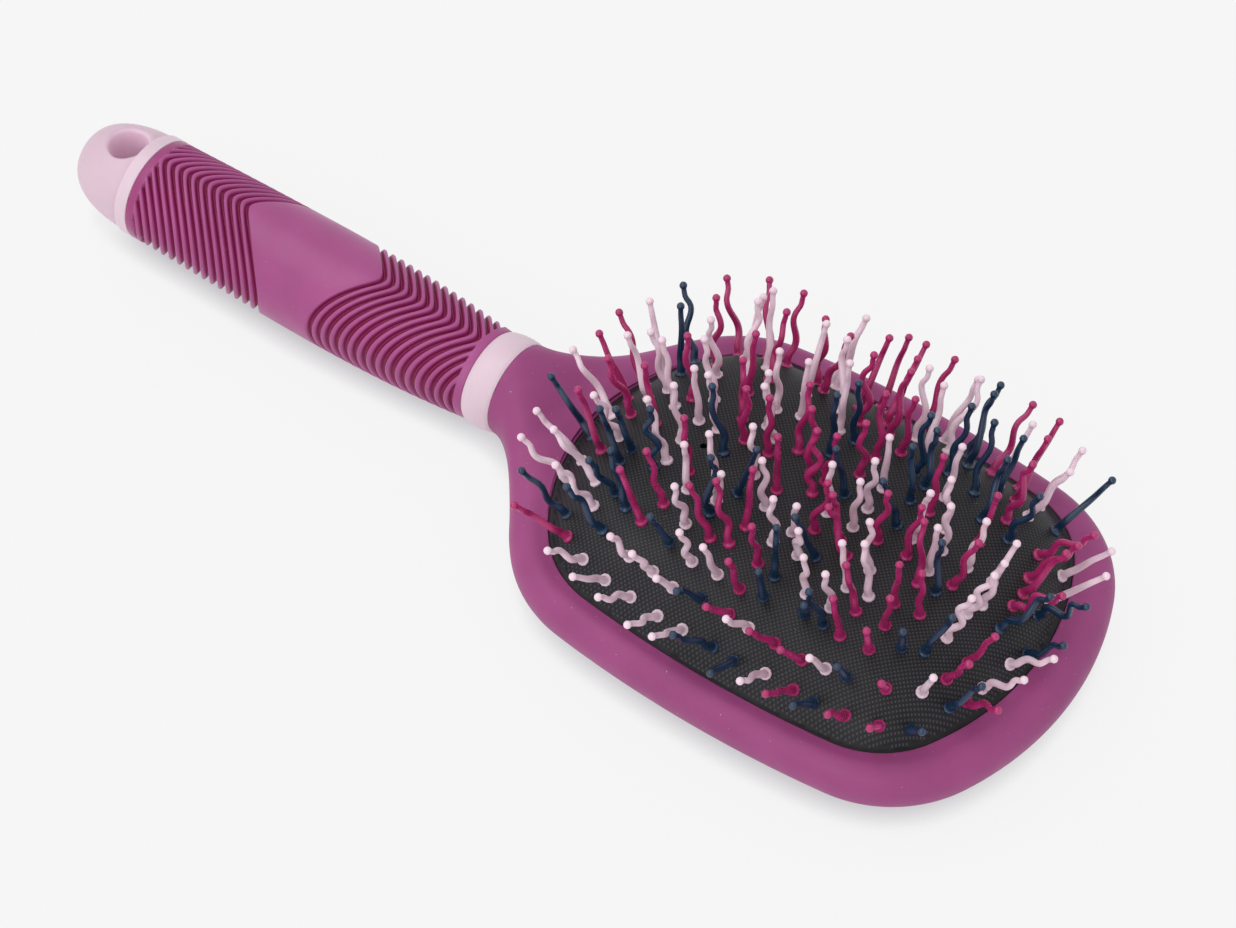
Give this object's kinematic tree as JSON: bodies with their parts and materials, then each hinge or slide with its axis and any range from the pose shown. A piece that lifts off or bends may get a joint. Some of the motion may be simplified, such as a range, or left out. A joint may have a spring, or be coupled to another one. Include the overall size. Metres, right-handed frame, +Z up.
{
  "type": "mane and tail brush",
  "caption": "Grooming brush with an oval paddle, a domed air cushion of wavy ball-tipped pins, and a round ribbed grip with a hanging hole in its end cap.",
  "frame": {"origin": "on the table plane under the middle of the brush's bounding box", "axes": "+X along the brush from the end cap to the head's tip, +Y across it, +Z up through the pins"},
  "size_m": [0.247, 0.0932, 0.0458],
  "materials": {
    "paddle": "matt moulded, plum pink",
    "cushion_pad": "matt black rubber with a fine dot texture",
    "pin_ring": "glossy magenta, pale pink and navy pins on black rubber",
    "pale_plastic": "satin pale pink",
    "grip_sleeve": "soft ribbed rubber, magenta pink"
  },
  "bodies": {
    "brush": {"paddle": "paddle", "cushion_pad": "cushion_pad", "collar": "pale_plastic", "grip_sleeve": "grip_sleeve", "end_cap": "pale_plastic"},
    "ring_6": {"pin_ring_6": "pin_ring"},
    "ring_5": {"pin_ring_5": "pin_ring"},
    "ring_4": {"pin_ring_4": "pin_ring"},
    "ring_3": {"pin_ring_3": "pin_ring"},
    "ring_2": {"pin_ring_2": "pin_ring"},
    "ring_1": {"pin_ring_1": "pin_ring"}
  },
  "joints": [
    {"name": "press_ring_6", "type": "slide", "parent": "brush", "child": "ring_6", "axis": [0, 0, -1], "range_m": [0, 0.0045], "stiffness_N_per_m": 900, "deforming": ["cushion_pad"]},
    {"name": "press_ring_5", "type": "slide", "parent": "brush", "child": "ring_5", "axis": [0, 0, -1], "range_m": [0, 0.00441], "stiffness_N_per_m": 900},
    {"name": "press_ring_4", "type": "slide", "parent": "brush", "child": "ring_4", "axis": [0, 0, -1], "range_m": [0, 0.00422], "stiffness_N_per_m": 900},
    {"name": "press_ring_3", "type": "slide", "parent": "brush", "child": "ring_3", "axis": [0, 0, -1], "range_m": [0, 0.00382], "stiffness_N_per_m": 900},
    {"name": "press_ring_2", "type": "slide", "parent": "brush", "child": "ring_2", "axis": [0, 0, -1], "range_m": [0, 0.003], "stiffness_N_per_m": 900},
    {"name": "press_ring_1", "type": "slide", "parent": "brush", "child": "ring_1", "axis": [0, 0, -1], "range_m": [0, 0.00172], "stiffness_N_per_m": 900}
  ],
  "couplings": [
    {"joint": "press_ring_5", "follows": "press_ring_6", "ratio": 0.9796},
    {"joint": "press_ring_4", "follows": "press_ring_6", "ratio": 0.9372},
    {"joint": "press_ring_3", "follows": "press_ring_6", "ratio": 0.8493},
    {"joint": "press_ring_2", "follows": "press_ring_6", "ratio": 0.6665},
    {"joint": "press_ring_1", "follows": "press_ring_6", "ratio": 0.3816}
  ]
}
